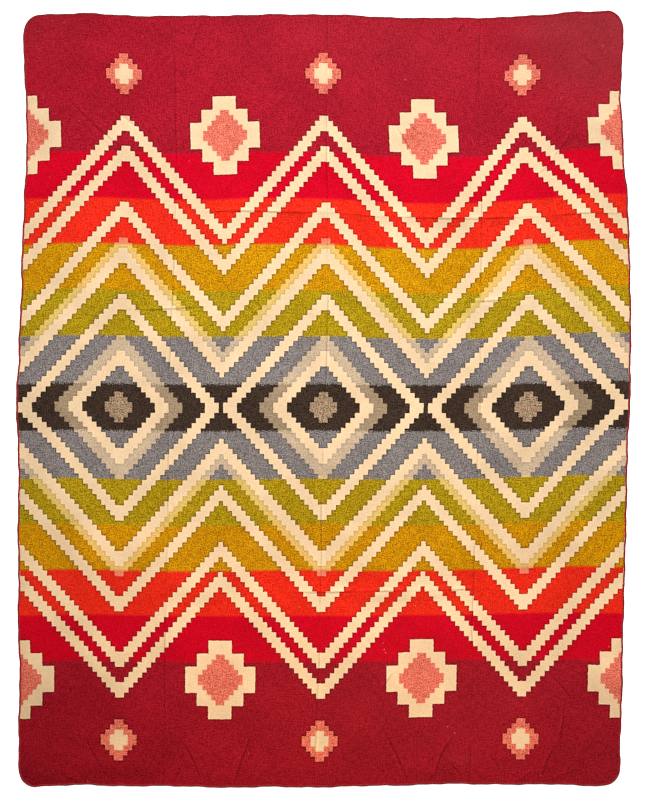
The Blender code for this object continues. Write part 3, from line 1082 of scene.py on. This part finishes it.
def make_cloth_material(groups):
    """Brushed double weave: colour bands with heathered flecks, stepped cream figures with a line of
    painted shade at their edges where the two layers change places and a painted highlight on their
    lip, pressed creases with painted shade and painted highlights, and patches of painted light and
    shade."""
    material, tree, shader = new_material("woven_alpaca_cloth")
    across, along, _ = attribute_parts(tree, "flat_place")
    wander_across, wander_along, _ = noises(place_of(across, along), 90.0, 1.0)
    drawn_across = across + (wander_across - 0.5) * WANDER
    drawn_along = along + (wander_along - 0.5) * WANDER - DESIGN_MIDDLE

    wool = use_group(tree, groups["wool"], {"Across": across, "Along": along})
    drawn = {"Across": drawn_across, "Along": drawn_along}
    weave = use_group(tree, groups["weave"], {**drawn, "Coarseness": THREAD_WIDTH})
    figures = use_group(tree, groups["figures"], drawn)
    specks = wool["Specks"] * 0.56 + wool["Streaks"] * 0.28 + weave["Float Tone"] * 0.16

    reach = abs(drawn_along) + (specks - 0.5) * 0.0090
    ground = mixed(specks, band_ramp(reach, "fleck"), band_ramp(reach, "colour"))
    figure = mixed(specks, figures["Fleck"], figures["Colour"])
    share = figures["Share"]
    half_tone = ranged(abs(share - HALF_TONE), 0.04, 0.30, 1.0, 0.0)
    over_black = band_start(reach, BLACK_REACH, HALF_TONE_OVER_BLACK, 1.0)
    over_red = band_start(reach, MUSTARD_REACH, 1.0, HALF_TONE_OVER_RED)
    over_gold = band_start(reach, SLATE_REACH, 0.0, 1.0) * band_start(reach, MUSTARD_REACH, 1.0, 0.0)
    figure = mixed(half_tone * over_gold, figure, PALE_YELLOW)
    cover = share * (half_tone * (over_black * over_red - 1.0) + 1.0)
    cover = cover + half_tone * ((weave["Weft Line"] - 0.5) * 0.20 + (specks - 0.5) * 0.20)
    colour = mixed(cover, ground, figure)

    # Painted shade in the groove round each figure, on the ground's side, and a painted highlight on
    # the figure's lip, from its share a step to each side
    beside = []
    for step_x, step_y in ((1, 0), (-1, 0), (0, 1), (0, -1)):
        stepped_aside = {
            "Across": drawn_across + step_x * GROOVE_REACH,
            "Along": drawn_along + step_y * GROOVE_REACH,
        }
        beside.append(use_group(tree, groups["figures"], stepped_aside)["Share"])
    groove_painted_shade = reduce(Wire.most, beside) - share
    lip_painted_highlight = share - reduce(Wire.least, beside)

    # Painted shade along each crease and wrinkle and a painted highlight on its flank; the line also
    # deepens the bump
    line, painted_flank_highlight = crease_shades_and_grooves(tree, groups["crease"], (wander_along - 0.5) * WANDER)
    # Painted light and shade: patches lighter or darker, greyer and warmer, with cream lifted where
    # the painted light is warmer
    painted_light_tone, painted_veil_grey, painted_warm_light = attribute_parts(tree, "painted_light")
    tone = (weave["Float Tone"] - 0.5) * 0.08 + wool["Clouds"] * 0.08 + painted_light_tone + 1.0
    tone = tone * (groove_painted_shade * -0.43 + 1.0) * (lip_painted_highlight * 0.09 + 1.0)
    tone = tone * (line * -0.42 + 1.0) * (painted_flank_highlight * 0.15 + 1.0) * (share * painted_warm_light * 0.28 + 1.0)
    colour = shaded(mixed(painted_veil_grey, colour, PAINTED_VEIL_GREY), tone)
    colour = mixed(painted_warm_light * (share * -0.35 + 1.0), colour, PAINTED_LIGHT_WARMTH, "MULTIPLY")
    colour = mixed(wool["Lint"] * 0.35, colour, CREAM.colour)

    feed_all(shader, {
        "Base Color": colour,
        "Roughness": specks * 0.12 + 0.84,
        "Specular IOR Level": 0.02,
        "Sheen Weight": 0.03,
        "Sheen Roughness": 0.55,
        "Sheen Tint": (1.0, 0.80, 0.72),
    })
    height = weave["Height"] * 0.00032 + wool["Specks"] * 0.00030
    height = height + share * 0.00045 - line * 0.0007
    set_bump(tree, shader, height, 0.8)
    return material


def make_thread_material(groups, name, lit_yarn, shade_start, shade_end):
    """Plied wool thread, with painted light where it lies on top and painted shade from where it
    turns
    down over the edge: shade_start and shade_end are distances along a stitch."""
    material, tree, shader = new_material(name)
    number, run, _ = attribute_parts(tree, "thread_place")
    thread = use_group(tree, groups["twist"], {"Number": number, "Run": run})
    lightness = thread["Twist"] * 0.5 + thread["Each"] * 0.5
    on_top = mixed(lightness, lit_yarn.fleck, lit_yarn.colour)
    painted_shade_turned_down = mixed(lightness, THREAD_PAINTED_SHADE.fleck, THREAD_PAINTED_SHADE.colour)
    feed_all(shader, {
        "Base Color": mixed(ranged(run, shade_start, shade_end), on_top, painted_shade_turned_down),
        "Roughness": thread["Each"] * 0.15 + 0.6,
        "Specular IOR Level": 0.15,
        "Sheen Weight": 0.05,
    })
    set_bump(tree, shader, thread["Twist"] * 0.00012, 0.7)
    return material


def make_core_material():
    """The dark matted wool under the overlock thread."""
    material, tree, shader = new_material("edging_core_wool")
    coordinates = tree.nodes.new("ShaderNodeTexCoord")
    place = Wire(tree, coordinates.outputs["Object"])
    fuzz = noise(place, 420.0, 2.0, 0.7)
    feed_all(shader, {
        "Base Color": mixed(ranged(fuzz, 0.3, 0.7), CORE_RED.fleck, CORE_RED.colour),
        "Roughness": fuzz * 0.1 + 0.85,
        "Specular IOR Level": 0.1,
    })
    set_bump(tree, shader, fuzz * 0.0004, 0.7)
    return material


def make_floor_material():
    """Plain pale floor, lit evenly from below as well."""
    material, tree, shader = new_material("pale_floor")
    feed_all(shader, {
        "Base Color": FLOOR_WHITE,
        "Roughness": 0.9,
        "Specular IOR Level": 0.0,
        "Emission Color": (1.0, 1.0, 1.0),
        "Emission Strength": FLOOR_GLOW,
    })
    return material


def build_floor():
    """A wide plain floor, just under the blanket."""
    half = FLOOR_SIDE / 2
    data = bpy.data.meshes.new("floor")
    corners = [(-half, -half, 0), (half, -half, 0), (half, half, 0), (-half, half, 0)]
    data.from_pydata(corners, [], [(0, 1, 2, 3)])
    data.materials.append(make_floor_material())
    floor = bpy.data.objects.new("floor", data)
    floor.location.z = -FLOOR_DROP
    bpy.context.scene.collection.objects.link(floor)
    return floor


def add_softbox():
    """A soft square light beyond the far end, facing the blanket's middle."""
    data = bpy.data.lights.new("softbox", "AREA")
    data.shape = "SQUARE"
    data.size = SOFTBOX_SIDE
    data.energy = SOFTBOX_POWER
    data.spread = math.radians(SOFTBOX_SPREAD)
    light = bpy.data.objects.new("softbox", data)
    light.location = SOFTBOX_PLACE
    aim = np.array(SOFTBOX_AIM) - SOFTBOX_PLACE
    from_down = math.atan2(math.hypot(aim[0], aim[1]), -aim[2])
    light.rotation_euler = (from_down, 0.0, math.atan2(aim[1], aim[0]) - math.pi / 2)
    bpy.context.scene.collection.objects.link(light)


def add_studio():
    """The softbox, even light all round, and the camera straight above."""
    add_softbox()
    world = bpy.data.worlds.new("studio")
    world.use_nodes = True
    background = world.node_tree.nodes["Background"]
    feed_all(background, {"Color": (1.0, 1.0, 1.0), "Strength": ROOM_LIGHT})
    scene = bpy.context.scene
    scene.world = world
    scene.view_settings.view_transform = "Standard"
    data = bpy.data.cameras.new("camera")
    data.sensor_width = SENSOR_MM
    data.lens = LENS_MM
    data.clip_end = CAMERA_REACH
    camera = bpy.data.objects.new("camera", data)
    height = PHOTO_HEIGHT_PIXELS * METRES_A_PIXEL * LENS_MM / SENSOR_MM
    camera.location = (*FRAME_SHIFT, height)
    scene.collection.objects.link(camera)
    scene.camera = camera


groups = {
    "figures": make_figures_group(),
    "crease": make_crease_shade_group(),
    "weave": make_weave_group(),
    "wool": make_wool_group(),
    "twist": make_twist_group(),
}
cloth = build_cloth(make_cloth_material(groups))
core = build_edging_core(make_core_material())
overlock_thread = make_thread_material(groups, "overlock_thread", THREAD_RED, *OVERLOCK_PAINTED_SHADE_RUN)
needle_thread = make_thread_material(groups, "needle_thread", NEEDLE_RED, *NEEDLE_PAINTED_SHADE_RUN)
stitches = build_edging_stitches(overlock_thread)
needle = build_needle_thread(needle_thread)
build_floor()
add_studio()

for piece in (cloth, core, stitches, needle):
    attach(piece, "root")
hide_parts("woven_panel")
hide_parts("overlock_edging")
